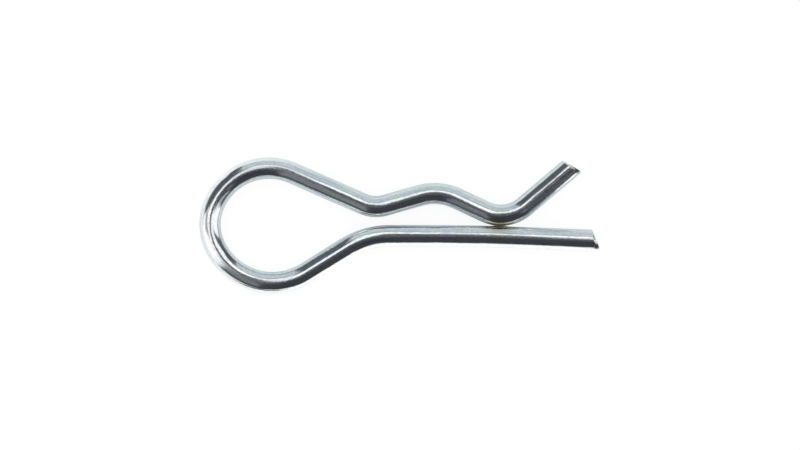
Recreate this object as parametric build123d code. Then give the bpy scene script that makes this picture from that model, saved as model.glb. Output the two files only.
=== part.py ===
from build123d import *
from math import cos, radians, sin, sqrt, tan
from typing import NamedTuple
import os

# A spring clip bent from one length of round wire. Its straight leg goes through the cross hole of a
# shaft, its wavy grip leg springs over the outside of the shaft, and a round loop joins the two.
# The clip lies flat: X runs from the loop to the cut ends, Y from the straight leg to the grip leg, Z up.
# Lengths are in millimetres and angles in degrees. Bend radii are those of the pin that the wire is bent
# round, and heights are measured from the axis of the straight leg.

# Wire
wire_diameter = 4.0

# Loop: three arcs that run into each other, at these angles round the loop from +X
loop_top_radius = 9.2
loop_nose_radius = 7.1
loop_low_radius = 9.9
loop_height = 1.45
nose_start_angle = 161.0
nose_end_angle = 200.0

# Straight leg: it rises out of the loop, bows away from the grip and ends in a straight pin
rise_angle = 31.9
shoulder_radius = 13.5
bow_angle = 2.2
bow_before_grip = 14.95
bow_past_grip = 3.55
leg_pin_length = 14.45

# Grip leg: down to the throat, up over the seat for the shaft, down to the grip and out along the lead
slope_angle = 23.7
throat_gap = 1.45
throat_radius = 4.4
climb_angle = 15.7
seat_height = 5.9
seat_radius = 7.8
descent_angle = 24.9
grip_gap = 0.06
grip_radius = 4.95
lead_angle = 40.2
lead_length = 11.7

# Sheared ends: how far each cut is turned from square, how far it leans back and how its edge is rounded
leg_cut_angle = 24.4
lead_cut_angle = 20.5
cut_lean = 3.0
leg_edge_radius = 0.5
lead_edge_radius = 0.3

wire_radius = wire_diameter / 2
bow_radius = (bow_before_grip + bow_past_grip) / sin(radians(bow_angle))
block_size = 3 * wire_diameter


class Bend(NamedTuple):
    """A round bend: the pin's centre, the radius of the wire's axis and the turn, 1 for left or -1 for right."""

    centre: Vector
    radius: float
    turn: int


def way(heading):
    """Unit vector along a heading in the plane of the clip."""
    return Vector(cos(radians(heading)), sin(radians(heading)))


def touch(bend, heading):
    """Point where a run with this heading meets the bend."""
    return bend.centre - way(heading + 90) * (bend.radius * bend.turn)


def reach(height, radii, angle):
    """Distance along X between two opposite bends, from the height between their crests and their run's angle."""
    straight = (height - radii * (1 - cos(radians(angle)))) / tan(radians(angle))
    return straight + radii * sin(radians(angle))


def loop_bends():
    """The loop's low, nose and top arcs, with the outside of the nose at X zero."""
    low_radius = loop_low_radius + wire_radius
    nose_radius = loop_nose_radius + wire_radius
    top_radius = loop_top_radius + wire_radius
    top_to_nose = way(nose_start_angle) * (top_radius - nose_radius)
    nose_to_low = way(nose_end_angle) * (nose_radius - low_radius)
    nose_centre = Vector(nose_radius + wire_radius, loop_height + top_to_nose.Y)
    low = Bend(nose_centre + nose_to_low, low_radius, -1)
    nose = Bend(nose_centre, nose_radius, -1)
    top = Bend(nose_centre - top_to_nose, top_radius, -1)
    return low, nose, top


def grip_bends(top):
    """The grip leg's throat, seat and grip. The grip stands just clear of the bowed leg below it."""
    throat_axis = throat_radius + wire_radius
    throat_low = wire_diameter + throat_gap
    slope_reach = reach(top.centre.Y + top.radius - throat_low, top.radius + throat_axis, slope_angle)
    throat_place = top.centre.X + slope_reach
    throat = Bend(Vector(throat_place, throat_low + throat_axis), throat_axis, 1)

    seat_axis = seat_radius + wire_radius
    seat_high = seat_height + wire_radius
    seat_place = throat_place + reach(seat_high - throat_low, throat_axis + seat_axis, climb_angle)
    seat = Bend(Vector(seat_place, seat_high - seat_axis), seat_axis, -1)

    grip_axis = grip_radius + wire_radius
    bow_to_grip = bow_radius + wire_diameter + grip_gap + grip_axis
    grip_centre = sqrt(bow_to_grip**2 - bow_before_grip**2) - bow_radius
    grip_low = grip_centre - grip_axis
    grip_place = seat_place + reach(seat_high - grip_low, seat_axis + grip_axis, descent_angle)
    return throat, seat, Bend(Vector(grip_place, grip_centre), grip_axis, 1)


def leg_bends(low, grip):
    """The straight leg's bow, under the grip, and its shoulder, where it rises out of the loop."""
    bow = Bend(Vector(grip.centre.X - bow_before_grip, -bow_radius), bow_radius, 1)
    shoulder_axis = shoulder_radius + wire_radius
    shoulder_reach = reach(low.radius - low.centre.Y, low.radius + shoulder_axis, rise_angle)
    shoulder = Bend(Vector(low.centre.X + shoulder_reach, -shoulder_axis), shoulder_axis, 1)
    return bow, shoulder


def bends_and_headings():
    """The bends from the leg's end to the lead's end, and the headings before, between and after them."""
    low, nose, top = loop_bends()
    throat, seat, grip = grip_bends(top)
    bow, shoulder = leg_bends(low, grip)
    bends = [bow, shoulder, low, nose, top, throat, seat, grip]
    leg_headings = [180 - bow_angle, 180, 180 + rise_angle]
    loop_headings = [nose_end_angle - 90, nose_start_angle - 90]
    grip_headings = [-slope_angle, climb_angle, -descent_angle, lead_angle]
    return bends, leg_headings + loop_headings + grip_headings


def wire_axis(start, bends, headings, end):
    """The wire's axis: an arc round each bend and a straight run to the next."""
    edges = []
    place = start
    for bend, heading_in, heading_out in zip(bends, headings, headings[1:]):
        bend_start = touch(bend, heading_in)
        if bend_start != place:
            edges.append(Line(place, bend_start))
        turned = (heading_out - heading_in) * bend.turn % 360
        edges.append(JernArc(bend_start, way(heading_in), bend.radius, turned * bend.turn))
        place = touch(bend, heading_out)
    edges.append(Line(place, end))
    return Wire(edges)


def end_block(place, heading, cut_angle):
    """The block beyond a sheared end, whose near face is the cut."""
    upward = Vector(0, 0, sin(radians(cut_lean)))
    outward = way(heading + cut_angle) * cos(radians(cut_lean)) + upward
    block = Box(block_size, block_size, block_size, align=(Align.CENTER, Align.CENTER, Align.MIN))
    return Plane(place, z_dir=outward) * block


def round_cut(clip, place, radius):
    """Rounds the edge of the sheared end nearest to a place."""
    cut = clip.faces().filter_by(GeomType.PLANE).sort_by_distance(place)[0]
    return fillet(cut.edges(), radius)


def spring_clip():
    """The bent wire with both ends sheared, lying on the ground and centred on its own outline."""
    bends, headings = bends_and_headings()
    leg_way = way(headings[0])
    lead_way = way(headings[-1])
    leg_end = touch(bends[0], headings[0]) - leg_way * leg_pin_length
    lead_end = touch(bends[-1], headings[-1]) + lead_way * lead_length
    start = leg_end - leg_way * wire_diameter
    axis = wire_axis(start, bends, headings, lead_end + lead_way * wire_diameter)
    clip = sweep(Plane(start, z_dir=leg_way) * Circle(wire_radius), path=axis)
    clip -= end_block(leg_end, headings[0] + 180, leg_cut_angle)
    clip -= end_block(lead_end, headings[-1], lead_cut_angle)
    clip = round_cut(clip, leg_end, leg_edge_radius)
    clip = round_cut(clip, lead_end, lead_edge_radius)
    outline = clip.bounding_box()
    return Pos(-outline.center().X, -outline.center().Y, -outline.min.Z) * clip


os.makedirs("parts", exist_ok=True)
export_step(spring_clip(), "parts/spring_clip.step")
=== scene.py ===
from collections import namedtuple
from math import cos, pi, radians, sin, sqrt, tan

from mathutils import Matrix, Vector
import bpy
import numpy as np


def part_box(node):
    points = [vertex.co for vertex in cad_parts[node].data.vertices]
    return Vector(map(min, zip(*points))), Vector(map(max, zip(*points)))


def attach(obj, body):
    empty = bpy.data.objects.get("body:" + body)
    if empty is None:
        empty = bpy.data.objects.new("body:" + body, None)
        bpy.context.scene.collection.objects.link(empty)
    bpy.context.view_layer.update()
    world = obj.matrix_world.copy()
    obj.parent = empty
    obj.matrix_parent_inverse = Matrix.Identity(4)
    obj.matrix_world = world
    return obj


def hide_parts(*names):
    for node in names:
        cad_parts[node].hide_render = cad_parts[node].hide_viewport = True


# A spring clip bent from one length of round wire, seen from straight above on a white floor.
# Lengths are in millimetres unless a comment says metres, and angles in degrees. The clip's own sizes are
# those of the solid that it stands for: bend radii are those of the pin that the wire is bent round, and
# heights are measured from the axis of the straight leg.

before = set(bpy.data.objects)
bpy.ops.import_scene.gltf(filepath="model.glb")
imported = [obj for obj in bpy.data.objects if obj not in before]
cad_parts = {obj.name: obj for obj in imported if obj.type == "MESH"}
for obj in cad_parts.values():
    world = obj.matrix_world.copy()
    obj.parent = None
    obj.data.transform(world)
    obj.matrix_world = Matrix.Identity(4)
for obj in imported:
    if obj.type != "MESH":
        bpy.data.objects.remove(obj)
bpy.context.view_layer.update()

METRE = 1000.0
UP = np.array([0.0, 0.0, 1.0])

Bend = namedtuple("Bend", "centre radius turn")
End = namedtuple("End", "place travel outward cut_angle edge_radius along")
Cut = namedtuple("Cut", "normal square lengths corners half_corner trimmed wall_ends face_starts")
Ring = namedtuple("Ring", "points unbent cut broken burr")
Texture = namedtuple("Texture", "grains detail")
Card = namedtuple("Card", "name corners colour soft")

# Wire
wire_diameter = 4.0
wire_radius = wire_diameter / 2

# Loop: three arcs that run into each other, at these angles round the loop from +X
loop_top_radius = 9.2
loop_nose_radius = 7.1
loop_low_radius = 9.9
loop_height = 1.45
nose_start_angle = 161.0
nose_end_angle = 200.0

# Straight leg: it rises out of the loop, bows away from the grip and ends in a straight pin
rise_angle = 31.9
shoulder_radius = 13.5
bow_angle = 2.2
bow_before_grip = 14.95
bow_past_grip = 3.55
bow_radius = (bow_before_grip + bow_past_grip) / sin(radians(bow_angle))
leg_pin_length = 14.45

# Grip leg: down to the throat, up over the seat for the shaft, down to the grip and out along the lead
slope_angle = 23.7
throat_gap = 1.45
throat_radius = 4.4
climb_angle = 15.7
seat_height = 5.9
seat_radius = 7.8
descent_angle = 24.9
grip_gap = 0.06
grip_radius = 4.95
lead_angle = 40.2
lead_length = 11.7

# Sheared ends: how far each cut is turned from square, how far it leans back and how its edge is rounded
leg_cut_angle = 24.4
lead_cut_angle = 20.5
cut_lean = 3.0
leg_edge_radius = 0.5
lead_edge_radius = 0.3

# Broken part of each cut: how deep it is, over what share of the way from the edge to the middle it sinks,
# and how quickly burnished steel gives way to it across the face
break_depth = 0.12
break_slope = 1 / 3
break_contrast = 1.2

# Burr and painted shade beside the sharp corner of each cut: how sharp the corner is where they start and
# end, over what change they fade, how far they run along the wall and over what share of the way to the
# face's middle
burr_and_shade_start = 0.10
burr_and_shade_start_fade = 0.25
burr_and_shade_end = 0.85
burr_and_shade_end_fade = 0.20
burr_and_shade_on_wall = 0.7
burr_and_shade_on_face = 1 / 6

# Mesh: points round a ring, the distance between rings, the shortest run that gets any, and the length of a
# sheared end on the wire's axis and its rings
ring_points = 72
ring_spacing = 0.3
shortest_run = 0.001
end_length = 5.0
end_wall_rings = 18
end_edge_rings = 8
end_face_rings = 10

# Colours of the wire, and how far its tarnish and painted shade reach from the place where the two legs
# meet
cool_zinc = (0.81, 0.86, 0.93)
warm_zinc = (1.00, 0.97, 0.93)
green_zinc = (0.84, 0.94, 0.89)
draw_line_grey = (0.68, 0.67, 0.75)
grain_grey = (0.64, 0.68, 0.71)
tarnish_and_shade_brown = (0.56, 0.54, 0.45)
tarnish_and_shade_reach = 4.6
burnished_steel = (0.88, 0.84, 0.78)
broken_steel = (0.50, 0.48, 0.46)
shear_line_grey = (0.40, 0.38, 0.35)
# Painted shade that darkens the burr beside each cut's sharp corner
corner_shade_grey = (0.10, 0.10, 0.105)

# Textures of the wire: grains in a millimetre along, across and up, and how many times finer ones are added
patch_texture = Texture((0.25, 1.0, 1.0), 4.0)
cloud_texture = Texture((0.17, 0.6, 0.6), 2.0)
streak_texture = Texture((0.10, 2.2, 2.2), 3.0)
speckle_texture = Texture((1.6, 5.0, 5.0), 3.0)
shear_texture = Texture((0.0, 7.0, 1.0), 3.0)

# Levels of a texture between which each of these comes in, and how far it does
warm_levels = (0.36, 0.64)
green_levels = (0.45, 0.65)
draw_line_levels = (0.52, 0.68)
grain_levels = (0.48, 0.66)
shear_line_levels = (0.45, 0.65)
polish_levels = (0.35, 0.65)
frost_levels = (0.42, 0.72)
none_to_most = (0.0, 0.7)
none_to_all = (0.0, 1.0)

# Relief of the wire: how high its draw lines stand, and its grains as a share of that
relief_height = 0.018
speckle_relief = 0.3

# Roughness of the plating from line to line, what its grains add, and that of the cuts and the burr
polish_roughness = (0.06, 0.12)
grain_roughness = (0.0, 0.12)
sheared_roughness = (0.30, 0.55)
burr_roughness = 0.6

# Floor: half its width in metres, its paper and its own glow, for the camera and for reflections
floor_half = 4.0
camera_paper = (0.15, 0.15, 0.15)
camera_glow = (0.88, 0.88, 0.88)
mirror_paper = (0.37, 0.40, 0.41)
mirror_glow = (0.34, 0.38, 0.39)

# Shade on the floor under the wire: how far it reaches to each side. The cards on the floor lie at heights
# of their own, so that one covers another
contact_shade_reach = 2.4
contact_shade_height = 0.1
contact_shade_colour = (0.05, 0.05, 0.05)

# Shade in the gap at the grip: half its length and half its width
grip_shade_reach = 1.8
grip_shade_half = 0.12
grip_shade_height = 0.15
grip_shade_colour = (0.15, 0.14, 0.10)

# Sheet of painted light on the floor outside the clip, which the wire mirrors brighter than the floor:
# where it starts, is whole and ends, from the wire's axis, how far it comes up beside the leg's end, how
# far along the wire it fades at both ends of the loop, and how whole it is at the rise, the loop's lowest
# point, its nose, its upper left, its crest and the slope
sheet_start = 2.5
sheet_full = 3.3
sheet_width = 60.0
sheet_corner = 6.0
sheet_fade = 16.0
sheet_shares = [1.0, 0.75, 0.35, 0.7, 0.3, 0.0]
sheet_height = 0.2
# Colour of its painted light, brighter than the floor
sheet_light_colour = (1.22, 1.18, 1.15)

# Dark card on the floor in front of the loop: where it starts and is whole, from the wire's axis, and how
# whole it is at these places along the wire from the loop's lowest point
loop_shade_start = 11.0
loop_shade_full = 17.0
loop_shade_places = [-8.0, -3.0, 5.0, 9.0]
loop_shade_shares = [0.0, 1.0, 1.0, 0.0]
loop_shade_height = 0.3
loop_shade_colour = (0.045, 0.048, 0.055)

# Colours of the studio cards
dark_grey = (0.046, 0.049, 0.057)
centre_grey = (0.085, 0.090, 0.098)
lead_grey = (0.185, 0.190, 0.205)
slate_grey = (0.088, 0.104, 0.116)
front_grey = (0.200, 0.210, 0.215)
low_grey = (0.075, 0.090, 0.095)
mist_grey = (0.36, 0.40, 0.42)
panel_grey = (0.57, 0.635, 0.665)
panel_foot_grey = (0.41, 0.46, 0.48)
key_white = (1.06, 1.10, 1.12)
box_white = (1.15, 1.15, 1.15)

# Studio cards, each hung in front of the one before it: four corners in degrees from straight overhead
# towards +X and +Y, anticlockwise, a colour and the width of the soft edge in degrees
studio_cards = [
    Card("back_panel", [(-22, 24), (32, 24), (72, 92), (-58, 106)], panel_grey, 4),
    Card("back_panel_foot", [(-22, 28), (32, 26), (38, 46), (-24, 50)], panel_foot_grey, 10),
    Card("back_left_shade", [(-104, 22), (-50, 4), (-40, 50), (-70, 60)], mist_grey, 14),
    Card("back_left_card", [(-78, 11), (-14, 9), (-13, 34), (-61, 61)], slate_grey, 4),
    Card("back_left_edge", [(-48, 28), (-15, 26), (-41, 92), (-60, 88)], slate_grey, 5),
    Card("back_right_card", [(34, 1), (95, 35), (66, 88), (21, 34)], slate_grey, 4),
    Card("left_arm_shade", [(-54, -10), (-18, -10), (-16, 12), (-54, 14)], mist_grey, 6),
    Card("right_box", [(16, -6), (78, -38), (96, 28), (28, 0)], box_white, 5),
    Card("left_box", [(-100, -62), (-8, -12), (-24, -9), (-104, 24)], box_white, 5),
    Card("key_arm", [(-32, -3), (-4, -2), (-4, 14), (-34, 9)], key_white, 5),
    Card("key_box", [(-18, 4), (36, 6), (45, 31), (-16, 40)], key_white, 5),
    Card("front_right_shade", [(20, -8), (40, -54), (64, -74), (86, -34)], mist_grey, 8),
    Card("front_right_card", [(44, -22), (52, -66), (78, -78), (98, -36)], slate_grey, 8),
    Card("right_edge_card", [(30, -38), (50, -86), (74, -70), (44, -38)], dark_grey, 7),
    Card("front_shade", [(-68, -58), (46, -92), (8, 3), (-4, 4)], front_grey, 6),
    Card("front_left_low_card", [(-76, -54), (-10, -98), (-8, -60), (-40, -34)], low_grey, 8),
    Card("front_card", [(-24, -89), (62, -77), (28, -8), (-4, 4)], dark_grey, 5),
    Card("centre_card", [(-10, -16), (14, -16), (5, 22), (-4, 22)], centre_grey, 5),
    Card("lead_card", [(29, -41), (35, -36), (18, -16), (12, -21)], lead_grey, 3),
]

# How far off the first studio card hangs and how far the next is in front of it, in metres, how many faces
# a card has along each edge, and the tilt below which a point counts as straight overhead
card_distance = 1.5
card_spacing = 0.01
card_steps = 64
smallest_tilt = 0.001

# Camera, straight above: how wide the picture is at the wire's axis, how high the camera stands over that,
# and where it stands from the middle of the clip
view_width = 150.2
camera_height = 800.0
camera_place = (0.10, 0.07)
sensor_width = 36.0

# Sockets of a Mix node that blends colours
MIX_FIRST = 6
MIX_SECOND = 7
MIX_RESULT = 2


def way(heading):
    """Unit vector along a heading in the plane of the clip."""
    return np.array([cos(radians(heading)), sin(radians(heading)), 0.0])


def at(x, y):
    """A point in the plane of the clip."""
    return np.array([x, y, 0.0])


def smooth(part):
    """A soft step from 0 to 1."""
    inside = np.clip(part, 0, 1)
    return inside * inside * (3 - 2 * inside)


def touch(bend, heading):
    """Point where a run with this heading meets the bend."""
    return bend.centre - way(heading + 90) * (bend.radius * bend.turn)


def reach(height, radii, angle):
    """Distance along X between two opposite bends that a run at this angle joins.

    The height is the one between their crests, and the radii are both of theirs together.
    """
    straight = (height - radii * (1 - cos(radians(angle)))) / tan(radians(angle))
    return straight + radii * sin(radians(angle))


def loop_bends():
    """The loop's low, nose and top arcs, with the outside of the nose at X zero."""
    low_radius = loop_low_radius + wire_radius
    nose_radius = loop_nose_radius + wire_radius
    top_radius = loop_top_radius + wire_radius
    top_to_nose = way(nose_start_angle) * (top_radius - nose_radius)
    nose_to_low = way(nose_end_angle) * (nose_radius - low_radius)
    nose_centre = at(nose_radius + wire_radius, loop_height + top_to_nose[1])
    low = Bend(nose_centre + nose_to_low, low_radius, -1)
    nose = Bend(nose_centre, nose_radius, -1)
    top = Bend(nose_centre - top_to_nose, top_radius, -1)
    return low, nose, top


def grip_bends(top):
    """The grip leg's throat, seat and grip. The grip stands just clear of the bowed leg below it."""
    throat_axis = throat_radius + wire_radius
    throat_low = wire_diameter + throat_gap
    slope_reach = reach(top.centre[1] + top.radius - throat_low, top.radius + throat_axis, slope_angle)
    throat_place = top.centre[0] + slope_reach
    throat = Bend(at(throat_place, throat_low + throat_axis), throat_axis, 1)

    seat_axis = seat_radius + wire_radius
    seat_high = seat_height + wire_radius
    seat_place = throat_place + reach(seat_high - throat_low, throat_axis + seat_axis, climb_angle)
    seat = Bend(at(seat_place, seat_high - seat_axis), seat_axis, -1)

    grip_axis = grip_radius + wire_radius
    bow_to_grip = bow_radius + wire_diameter + grip_gap + grip_axis
    grip_centre = sqrt(bow_to_grip**2 - bow_before_grip**2) - bow_radius
    grip_low = grip_centre - grip_axis
    grip_place = seat_place + reach(seat_high - grip_low, seat_axis + grip_axis, descent_angle)
    return throat, seat, Bend(at(grip_place, grip_centre), grip_axis, 1)


def leg_bends(low, grip):
    """The straight leg's bow, under the grip, and its shoulder, where it rises out of the loop."""
    bow = Bend(at(grip.centre[0] - bow_before_grip, -bow_radius), bow_radius, 1)
    shoulder_axis = shoulder_radius + wire_radius
    shoulder_reach = reach(low.radius - low.centre[1], low.radius + shoulder_axis, rise_angle)
    shoulder = Bend(at(low.centre[0] + shoulder_reach, -shoulder_axis), shoulder_axis, 1)
    return bow, shoulder


def bends_and_headings():
    """The bends from the leg's end to the lead's end, and the headings before, between and after them."""
    low, nose, top = loop_bends()
    throat, seat, grip = grip_bends(top)
    bow, shoulder = leg_bends(low, grip)
    bends = [bow, shoulder, low, nose, top, throat, seat, grip]
    leg_headings = [180 - bow_angle, 180, 180 + rise_angle]
    loop_headings = [nose_end_angle - 90, nose_start_angle - 90]
    grip_headings = [-slope_angle, climb_angle, -descent_angle, lead_angle]
    return bends, leg_headings + loop_headings + grip_headings


def contact_point():
    """The place where the grip all but touches the straight leg."""
    bends = bends_and_headings()[0]
    bow = bends[0]
    to_grip = bends[-1].centre - bow.centre
    return bow.centre + to_grip / np.linalg.norm(to_grip) * (bow.radius + wire_radius)


def ring_directions(heading):
    """Unit vectors from the wire's axis to its surface, from its underside round its left side and top."""
    turn = np.linspace(0, 2 * pi, ring_points, endpoint=False)[:, None] - pi / 2
    return np.cos(turn) * way(heading + 90) + np.sin(turn) * UP


def unbent(along):
    """Places of a ring's points on the wire before it was bent, which the material follows."""
    side = ring_directions(0) * wire_radius
    return side + way(0) * np.reshape(along, (-1, 1))


def wall_ring(place, heading, along):
    """A ring of points square to the wire's axis."""
    points = place + ring_directions(heading) * wire_radius
    none = np.zeros(ring_points)
    return Ring(points, unbent(along), none, none, none)


def run_rings(start, end, heading, along):
    """Rings along a straight run, without its last."""
    length = np.linalg.norm(end - start)
    count = max(1, round(length / ring_spacing))
    parts = np.arange(count) / count
    return [wall_ring(start + (end - start) * part, heading, along + length * part) for part in parts]


def bend_rings(bend, heading_in, turned, along):
    """Rings round a bend, without its last."""
    length = bend.radius * radians(turned)
    count = max(1, round(length / ring_spacing))
    rings = []
    for part in np.arange(count) / count:
        heading = heading_in + bend.turn * turned * part
        rings.append(wall_ring(touch(bend, heading), heading, along + length * part))
    return rings


def wire_rings(start, bends, headings, end):
    """Rings from the start of the first run to the end of the last, and the wire's length there."""
    rings = []
    place = start
    along = 0.0
    for bend, heading_in, heading_out in zip(bends, headings, headings[1:]):
        bend_start = touch(bend, heading_in)
        run_length = np.linalg.norm(bend_start - place)
        if run_length > shortest_run:
            rings += run_rings(place, bend_start, heading_in, along)
        along += run_length
        turned = (heading_out - heading_in) * bend.turn % 360
        rings += bend_rings(bend, heading_in, turned, along)
        along += bend.radius * radians(turned)
        place = touch(bend, heading_out)
    rings += run_rings(place, end, headings[-1], along)
    return rings, along + np.linalg.norm(end - place)


def cut_shape(end):
    """Where the wall, rolled edge and face of a sheared end meet, for each point round the wire."""
    out = way(end.outward)
    normal = way(end.outward + end.cut_angle) * cos(radians(cut_lean)) + UP * sin(radians(cut_lean))
    square = end.place - out * end_length + ring_directions(end.travel) * wire_radius
    lengths = ((end.place - square) @ normal) / (out @ normal)
    corners = square + lengths[:, None] * out
    inward = end.place - corners
    inward /= np.linalg.norm(inward, axis=1)[:, None]
    half_corner = np.arccos(np.clip(-(inward @ out), -1, 1)) / 2
    trimmed = end.edge_radius / np.tan(half_corner)
    wall_ends = corners - trimmed[:, None] * out
    face_starts = corners + trimmed[:, None] * inward
    return Cut(normal, square, lengths, corners, half_corner, trimmed, wall_ends, face_starts)


def sharpness(cut):
    """How sharp the cut's corner is round the wire: 1 where it is sharpest, 0 where it is square."""
    slant = np.cos(2 * cut.half_corner)
    return slant / slant.max()


def burr_and_shade_share(cut):
    """How much burr and painted shade there is round the wire, on both sides of the cut's sharpest corner.
    """
    start = smooth((sharpness(cut) - burr_and_shade_start) / burr_and_shade_start_fade)
    return start * smooth((burr_and_shade_end - sharpness(cut)) / burr_and_shade_end_fade)


def broken_share(cut, part):
    """How much of the steel is broken and not burnished, this part of the way out from the cut's middle.

    It is half in the middle, all on the sharp side and nothing on the blunt side.
    """
    return smooth(0.5 + break_contrast * sharpness(cut) * part)


def unbent_end(end, lengths):
    """Places of a sheared end's points on the unbent wire, these lengths past its last square ring."""
    direction = 1 if end.travel == end.outward else -1
    return unbent(end.along + direction * lengths)


def end_wall(end, cut):
    """Rings of a sheared end's round wall, which lie closer together towards its rolled edge."""
    none = np.zeros(ring_points)
    lengths = cut.lengths - cut.trimmed
    rings = []
    for part in 1 - (1 - np.linspace(0, 1, end_wall_rings, endpoint=False)) ** 2:
        points = cut.square + (cut.wall_ends - cut.square) * part
        burr = burr_and_shade_share(cut) * smooth(1 - lengths * (1 - part) / burr_and_shade_on_wall)
        rings.append(Ring(points, unbent_end(end, lengths * part), none, none, burr))
    return rings


def end_edge(end, cut):
    """Rings of a sheared end's rolled edge, whose points go round an arc from the wall to the face."""
    weight = np.sin(cut.half_corner)
    rings = []
    for part in np.linspace(0, 1, end_edge_rings):
        first = (1 - part) ** 2
        middle = 2 * weight * part * (1 - part)
        last = part**2
        weighted = first * cut.wall_ends + middle[:, None] * cut.corners + last * cut.face_starts
        points = weighted / (first + middle + last)[:, None]
        place = unbent_end(end, cut.lengths - cut.trimmed * (1 - part))
        rings.append(Ring(points, place, np.full(ring_points, part), broken_share(cut, 1), burr_and_shade_share(cut)))
    return rings


def end_face(end, cut):
    """Rings of a sheared end's face from its rolled edge to its middle, lower where the steel broke."""
    whole = np.ones(ring_points)
    place = unbent_end(end, cut.lengths)
    rings = []
    for part in np.linspace(1, 0, end_face_rings, endpoint=False)[1:]:
        broken = broken_share(cut, part)
        depth = break_depth * broken * smooth((1 - part) / break_slope)
        points = end.place + (cut.face_starts - end.place) * part - depth[:, None] * cut.normal
        burr = burr_and_shade_share(cut) * smooth(1 - (1 - part) / burr_and_shade_on_face)
        rings.append(Ring(points, place * np.array([1.0, part, part]), whole, broken, burr))
    return rings


def end_rings(end):
    """Rings of a sheared end from its last square ring to the middle of its cut."""
    cut = cut_shape(end)
    return end_wall(end, cut) + end_edge(end, cut) + end_face(end, cut)


def clip_rings():
    """Every ring of the clip, from the middle of the leg's cut to the middle of the lead's."""
    bends, headings = bends_and_headings()
    leg_way = way(headings[0])
    lead_way = way(headings[-1])
    leg_end = touch(bends[0], headings[0]) - leg_way * leg_pin_length
    lead_end = touch(bends[-1], headings[-1]) + lead_way * lead_length
    start = leg_end + leg_way * end_length
    stop = lead_end - lead_way * end_length
    rings, length = wire_rings(start, bends, headings, stop)
    leg = End(leg_end, headings[0], headings[0] + 180, leg_cut_angle, leg_edge_radius, 0.0)
    lead = End(lead_end, headings[-1], headings[-1], lead_cut_angle, lead_edge_radius, length)
    leg_rings = end_rings(leg)
    leg_rings.reverse()
    return leg_rings[:-1] + rings + end_rings(lead)


def joining_faces(ring_count):
    """Faces that join each ring to the next, as point numbers."""
    rows = np.arange(ring_count - 1)[:, None] * ring_points
    here = np.arange(ring_points)[None, :]
    following = (here + 1) % ring_points
    corners = [rows + here, rows + following, rows + ring_points + following, rows + ring_points + here]
    return np.stack(corners, axis=-1).reshape(-1, len(corners)).tolist()


def closing_faces(first, middle, reverse):
    """Triangles that close a ring on its middle point."""
    faces = []
    for number in range(ring_points):
        pair = [first + number, first + (number + 1) % ring_points]
        if reverse:
            pair.reverse()
        faces.append([middle] + pair)
    return faces


def clip_faces(ring_count):
    """Faces of the whole clip. The middle points of its two cuts come after the points of its rings."""
    last_ring = (ring_count - 1) * ring_points
    leg_middle = ring_count * ring_points
    lead_middle = leg_middle + 1
    cuts = closing_faces(0, leg_middle, True) + closing_faces(last_ring, lead_middle, False)
    return joining_faces(ring_count) + cuts


def in_frame(points):
    """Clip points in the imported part's place, in metres."""
    low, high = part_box("spring_clip")
    loop_crest = loop_height + loop_top_radius + wire_diameter
    shift = np.array([low.x, high.y - loop_crest / METRE, (low.z + high.z) / 2])
    return points / METRE + shift


def with_middles(rows):
    """The values of every ring in one row, and then those in the middle of the first and of the last."""
    middles = [np.mean(rows[0], axis=0, keepdims=True), np.mean(rows[-1], axis=0, keepdims=True)]
    return np.concatenate(rows + middles)


def keep_amounts(mesh, name, amounts):
    """Keeps an amount for each point of a mesh, for its material."""
    mesh.attributes.new(name, "FLOAT", "POINT").data.foreach_set("value", np.ravel(amounts))


def make_clip(material):
    """The wire as one closed mesh, with its unbent places and cut faces kept for the material."""
    rings = clip_rings()
    values = {name: with_middles([getattr(ring, name) for ring in rings]) for name in Ring._fields}
    points = values.pop("points")
    places = values.pop("unbent")
    # Tarnish and painted shade, strongest where the grip meets the leg and fading out with distance
    values["tarnish_and_shade"] = smooth(1 - np.linalg.norm(points - contact_point(), axis=1) / tarnish_and_shade_reach)

    mesh = bpy.data.meshes.new("spring_clip_wire")
    mesh.from_pydata(in_frame(points).tolist(), [], clip_faces(len(rings)))
    mesh.polygons.foreach_set("use_smooth", [True] * len(mesh.polygons))
    mesh.attributes.new("unbent", "FLOAT_VECTOR", "POINT").data.foreach_set("vector", np.ravel(places))
    for name, amounts in values.items():
        keep_amounts(mesh, name, amounts)
    mesh.materials.append(material)
    mesh.update()
    clip = bpy.data.objects.new("spring_clip_wire", mesh)
    bpy.context.collection.objects.link(clip)
    return clip


def add_node(tree, kind, inputs=None, **settings):
    """A new node. Its inputs are given by name or number, as values or as outputs of other nodes."""
    node = tree.nodes.new(kind)
    for name, value in settings.items():
        setattr(node, name, value)
    for name, value in (inputs or {}).items():
        if isinstance(value, bpy.types.NodeSocket):
            tree.links.new(value, node.inputs[name])
        else:
            node.inputs[name].default_value = value
    return node


def kept_amount(tree, name):
    """An amount that is kept for each point of the mesh."""
    return add_node(tree, "ShaderNodeAttribute", attribute_name=name).outputs["Fac"]


def arithmetic(tree, operation, first, second):
    """The result of a sum on two values."""
    return add_node(tree, "ShaderNodeMath", {0: first, 1: second}, operation=operation).outputs[0]


def wire_noise(tree, place, texture):
    """The level of a texture on the unbent wire."""
    spread = add_node(tree, "ShaderNodeMapping", {"Vector": place, "Scale": texture.grains})
    inputs = {"Vector": spread.outputs[0], "Scale": 1.0, "Detail": texture.detail}
    return add_node(tree, "ShaderNodeTexNoise", inputs).outputs["Fac"]


def blended_colour(tree, amount, first, second):
    """A colour between two others, each of them a colour or the output of another node."""
    mix = add_node(tree, "ShaderNodeMix", {0: amount}, data_type="RGBA")
    for number, colour in ((MIX_FIRST, first), (MIX_SECOND, second)):
        if isinstance(colour, bpy.types.NodeSocket):
            tree.links.new(colour, mix.inputs[number])
        else:
            mix.inputs[number].default_value = (*colour, 1.0)
    return mix.outputs[MIX_RESULT]


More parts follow.
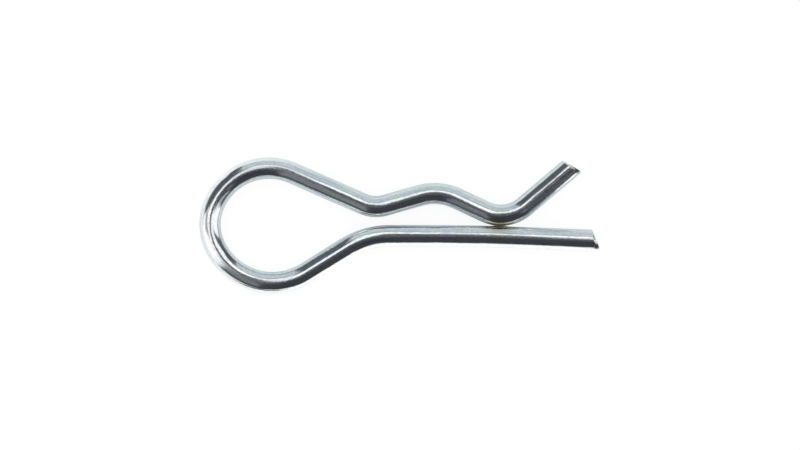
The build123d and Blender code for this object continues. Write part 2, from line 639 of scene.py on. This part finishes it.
def ranged(tree, value, limits, target):
    """A value carried from between two limits to between two others, and held at its ends."""
    low, high = limits
    to_low, to_high = target
    inputs = {"Value": value, "From Min": low, "From Max": high, "To Min": to_low, "To Max": to_high}
    return add_node(tree, "ShaderNodeMapRange", inputs).outputs[0]


def new_material(name):
    """An empty material, its node tree and its output."""
    material = bpy.data.materials.new(name)
    material.use_nodes = True
    tree = material.node_tree
    tree.nodes.clear()
    return material, tree, tree.nodes.new("ShaderNodeOutputMaterial")


def plating_colour(tree, place, streaks, speckle):
    """Zinc in cool and warm patches, some of them green, with draw lines and fine grey grains."""
    patches = wire_noise(tree, place, patch_texture)
    clouds = wire_noise(tree, place, cloud_texture)
    warmth = ranged(tree, patches, warm_levels, none_to_all)
    greenness = ranged(tree, clouds, green_levels, none_to_most)
    line = ranged(tree, streaks, draw_line_levels, none_to_all)
    grain = ranged(tree, speckle, grain_levels, none_to_most)
    tinted = blended_colour(tree, warmth, cool_zinc, warm_zinc)
    greened = blended_colour(tree, greenness, tinted, green_zinc)
    lined = blended_colour(tree, line, greened, draw_line_grey)
    return blended_colour(tree, grain, lined, grain_grey)


def sheared_colour(tree, place, broken):
    """Bare steel: bright where the blade burnished it, dull where it broke, with shear lines."""
    lines = wire_noise(tree, place, shear_texture)
    shade = ranged(tree, lines, shear_line_levels, none_to_all)
    steel = blended_colour(tree, broken, burnished_steel, broken_steel)
    return blended_colour(tree, shade, steel, shear_line_grey)


def wire_roughness(tree, streaks, speckle):
    """Polished plating with duller lines and grains, rough cuts and a rough burr."""
    polish = ranged(tree, streaks, polish_levels, polish_roughness)
    frost = ranged(tree, speckle, frost_levels, grain_roughness)
    plated = arithmetic(tree, "ADD", polish, frost)
    steel = ranged(tree, kept_amount(tree, "broken"), none_to_all, sheared_roughness)
    sheared = arithmetic(tree, "MULTIPLY", kept_amount(tree, "cut"), steel)
    burred = arithmetic(tree, "MULTIPLY", kept_amount(tree, "burr"), burr_roughness)
    return arithmetic(tree, "MAXIMUM", plated, arithmetic(tree, "MAXIMUM", sheared, burred))


def wire_relief(tree, streaks, speckle):
    """Fine relief from the draw lines and the grains."""
    relief = arithmetic(tree, "ADD", streaks, arithmetic(tree, "MULTIPLY", speckle, speckle_relief))
    inputs = {"Strength": 1.0, "Distance": relief_height / METRE, "Height": relief}
    return add_node(tree, "ShaderNodeBump", inputs).outputs[0]


def zinc_plated_wire():
    """Bright zinc on drawn wire, with tarnish and painted shade at the grip and dull sheared ends."""
    material, tree, output = new_material("zinc_plated_wire")
    place = add_node(tree, "ShaderNodeAttribute", attribute_name="unbent").outputs["Vector"]
    streaks = wire_noise(tree, place, streak_texture)
    speckle = wire_noise(tree, place, speckle_texture)

    plated = plating_colour(tree, place, streaks, speckle)
    # Tarnish and painted shade turn the plating brown and darker round the place where the legs meet
    stained_and_shaded = blended_colour(tree, kept_amount(tree, "tarnish_and_shade"), plated, tarnish_and_shade_brown)
    steel = sheared_colour(tree, place, kept_amount(tree, "broken"))
    sheared = blended_colour(tree, kept_amount(tree, "cut"), stained_and_shaded, steel)
    inputs = {
        # Painted shade darkens the colour of the burr beside each cut's sharp corner
        "Base Color": blended_colour(tree, kept_amount(tree, "burr"), sheared, corner_shade_grey),
        "Metallic": 1.0,
        "Roughness": wire_roughness(tree, streaks, speckle),
        "Normal": wire_relief(tree, streaks, speckle),
    }
    shader = add_node(tree, "ShaderNodeBsdfPrincipled", inputs)
    tree.links.new(shader.outputs[0], output.inputs["Surface"])
    return material


def white_floor():
    """White paper with a soft shadow. The wire mirrors it a little darker than the camera sees it."""
    material, tree, output = new_material("white_floor")
    path = add_node(tree, "ShaderNodeLightPath")
    seen = path.outputs["Is Camera Ray"]
    reflected = path.outputs["Is Glossy Ray"]
    mirrored = arithmetic(tree, "MAXIMUM", reflected, path.outputs["Is Transmission Ray"])
    paper_colour = blended_colour(tree, seen, mirror_paper, camera_paper)
    glow_colour = blended_colour(tree, seen, mirror_glow, camera_glow)
    glow_strength = arithmetic(tree, "MAXIMUM", seen, mirrored)
    paper = add_node(tree, "ShaderNodeBsdfDiffuse", {"Color": paper_colour})
    glow = add_node(tree, "ShaderNodeEmission", {"Color": glow_colour, "Strength": glow_strength})
    both = add_node(tree, "ShaderNodeAddShader", {0: paper.outputs[0], 1: glow.outputs[0]})
    tree.links.new(both.outputs[0], output.inputs["Surface"])
    return material


def card_material(name, colour):
    """A card, evenly lit and fading out where it doesn't cover what is behind it."""
    material, tree, output = new_material(name)
    glow = add_node(tree, "ShaderNodeEmission", {"Color": (*colour, 1.0), "Strength": 1.0})
    clear = add_node(tree, "ShaderNodeBsdfTransparent")
    inputs = {0: kept_amount(tree, "cover"), 1: clear.outputs[0], 2: glow.outputs[0]}
    mix = add_node(tree, "ShaderNodeMixShader", inputs)
    tree.links.new(mix.outputs[0], output.inputs["Surface"])
    return material


def add_stage(name, points, faces, material):
    """A floor or card that isn't part of the clip, from points in metres."""
    mesh = bpy.data.meshes.new(name)
    mesh.from_pydata(points, [], faces)
    mesh.materials.append(material)
    thing = bpy.data.objects.new(name, mesh)
    bpy.context.collection.objects.link(thing)
    return thing


def add_floor():
    """A wide floor under the clip."""
    half = floor_half
    corners = [(-half, -half, 0.0), (half, -half, 0.0), (half, half, 0.0), (-half, half, 0.0)]
    add_stage("floor", corners, [(0, 1, 2, 3)], white_floor())


def card_faces(row_count, column_count):
    """Faces that join the points of a card, which stand in rows and columns."""
    faces = []
    for row in range(row_count - 1):
        for column in range(column_count - 1):
            here = row * column_count + column
            above = here + column_count
            faces.append((here, here + 1, above + 1, above))
    return faces


def add_hidden_card(name, points, covers, colour):
    """A card that only the wire's reflections show, from its points and rows of their covers.

    A cover is how much of the card is there at a point.
    """
    card = add_stage(name, points, card_faces(*np.shape(covers)), card_material(name, colour))
    keep_amounts(card.data, "cover", covers)
    card.visible_camera = False
    card.visible_diffuse = False
    card.visible_shadow = False
    return card


def sky_point(across, back, distance):
    """A point this many degrees from straight overhead towards +X and towards +Y."""
    tilt = sqrt(across**2 + back**2)
    side = sin(radians(tilt)) / max(tilt, smallest_tilt)
    return Vector((across * side, back * side, cos(radians(tilt)))) * distance


def edge_cover(place, corners, soft):
    """How much of a card is there at a place on it: all, but for an edge this many degrees wide."""
    depth = soft
    for corner, following in zip(corners, corners[1:] + corners[:1]):
        along = (following - corner).normalized()
        depth = min(depth, along.cross(place - corner))
    return smooth(depth / soft)


def add_sky_card(card, distance):
    """A curved card round the clip, with its corners on the sky and soft edges."""
    corners = [Vector(corner) for corner in card.corners]
    first, second, third, fourth = corners
    parts = np.arange(card_steps + 1) / card_steps
    points = []
    covers = []
    for part in parts:
        start = first.lerp(fourth, part)
        end = second.lerp(third, part)
        places = [start.lerp(end, along) for along in parts]
        points += [sky_point(*place, distance) for place in places]
        covers.append([edge_cover(place, corners, card.soft) for place in places])
    add_hidden_card(card.name, points, covers, card.colour)


def add_studio():
    """Softboxes, a pale panel behind the clip and dark cards, placed as the wire mirrors them."""
    for number, card in enumerate(studio_cards):
        add_sky_card(card, card_distance - number * card_spacing)


def add_floor_card(name, rows, covers, height, colour):
    """A card that lies this high over the floor, from rows of clip points and of their covers."""
    points = in_frame(np.concatenate(rows))
    points[:, 2] = height / METRE
    return add_hidden_card(name, points.tolist(), covers, colour)


def wall_rings():
    """The rings of the wire's round wall, without those of its cuts."""
    return [ring for ring in clip_rings() if ring.cut.max() == 0]


def left_side(ring):
    """Unit vector to the left of the wire as it runs from the leg's end, which is outward on the loop."""
    quarter = ring_points // 4
    return (ring.points[quarter] - ring.points[-quarter]) / wire_diameter


def loop_landmarks(rings):
    """How far along the wire the loop's lowest point, nose and crest are."""
    throat = grip_bends(loop_bends()[-1])[0]
    middles = [(ring.points.mean(axis=0), ring.unbent[:, 0].mean()) for ring in rings]
    in_loop = [(place, along) for place, along in middles if place[0] < throat.centre[0]]
    lowest = min(in_loop, key=lambda middle: middle[0][1])
    nose = min(in_loop, key=lambda middle: middle[0][0])
    crest = max(in_loop, key=lambda middle: middle[0][1])
    return lowest[1], nose[1], crest[1]


def outside_rows(rings, distances, places, shares):
    """Rows of floor points outside the clip at these distances from the wire's axis, and their covers.

    A cover is nothing at the first distance. At the others it is a share that changes along the wire.
    """
    lowest = loop_landmarks(rings)[0]
    rows = []
    covers = []
    for ring in rings:
        middle = ring.points.mean(axis=0)
        along = ring.unbent[:, 0].mean()
        if along < places[-1]:
            outward = left_side(ring) if along > lowest else at(0, -1)
            rows.append(np.array([middle + outward * distance for distance in distances]))
            share = np.interp(along, places, shares)
            covers.append([0.0] + [share] * (len(distances) - 1))
    return rows, covers


def add_front_light_sheet():
    """A sheet of painted light outside the straight leg and the loop, which the wire mirrors brighter than
    the floor and which fades out along the slope.
    """
    rings = wall_rings()
    lowest, nose, crest = loop_landmarks(rings)
    places = [lowest - sheet_fade, lowest, nose, (nose + crest) / 2, crest, crest + sheet_fade]
    distances = np.array([sheet_start, sheet_full, sheet_width])
    rows, covers = outside_rows(rings, distances, places, sheet_shares)
    for right in (sheet_start, sheet_width):
        beside = rings[0].points.mean(axis=0) + at(right, sheet_corner)
        rows.insert(0, np.array([beside - at(0, distance) for distance in distances]))
        covers.insert(0, covers[0])
    add_floor_card("front_light_sheet", rows, covers, sheet_height, sheet_light_colour)


def add_loop_shade():
    """A dark card that lies some way in front of the loop's lowest point."""
    rings = wall_rings()
    places = loop_landmarks(rings)[0] + np.array(loop_shade_places)
    distances = np.array([loop_shade_start, loop_shade_full, sheet_width])
    rows, covers = outside_rows(rings, distances, places, loop_shade_shares)
    add_floor_card("loop_shade", rows, covers, loop_shade_height, loop_shade_colour)


def add_contact_shade():
    """Painted shade on the floor right under the wire, which only reflections show and which fades out to
    both sides.
    """
    rows = []
    for ring in wall_rings():
        across = left_side(ring) * contact_shade_reach
        rows.append(np.array([ring.points[0] + across, ring.points[0], ring.points[0] - across]))
    covers = [[0.0, 1.0, 0.0]] * len(rows)
    add_floor_card("contact_shade", rows, covers, contact_shade_height, contact_shade_colour)


def add_grip_shade():
    """The shadow in the narrow gap where the grip all but touches the leg, which the camera sees too."""
    middle = contact_point()
    rows = []
    for step in (-1.0, -0.5, 0.5, 1.0):
        place = middle + at(step * grip_shade_reach, 0)
        rows.append(np.array([place - at(0, grip_shade_half), place + at(0, grip_shade_half)]))
    covers = [[0.0, 0.0], [1.0, 1.0], [1.0, 1.0], [0.0, 0.0]]
    shade = add_floor_card("grip_shade", rows, covers, grip_shade_height, grip_shade_colour)
    shade.visible_camera = True


def light_world():
    """An even white world."""
    world = bpy.data.worlds.new("studio")
    world.use_nodes = True
    background = world.node_tree.nodes["Background"]
    background.inputs["Color"].default_value = (1.0, 1.0, 1.0, 1.0)
    background.inputs["Strength"].default_value = 1.0
    bpy.context.scene.world = world


def add_camera():
    """A long lens straight above the clip, with +Y up in the picture."""
    lens = bpy.data.cameras.new("camera")
    lens.sensor_width = sensor_width
    lens.lens = sensor_width * camera_height / view_width
    camera = bpy.data.objects.new("camera", lens)
    across, back = camera_place
    camera.location = (across / METRE, back / METRE, (camera_height + wire_radius) / METRE)
    bpy.context.collection.objects.link(camera)
    bpy.context.scene.camera = camera


clip = make_clip(zinc_plated_wire())
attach(clip, "root")
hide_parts("spring_clip")
add_floor()
add_studio()
add_front_light_sheet()
add_loop_shade()
add_contact_shade()
add_grip_shade()
light_world()
add_camera()
bpy.context.scene.view_settings.view_transform = "Standard"
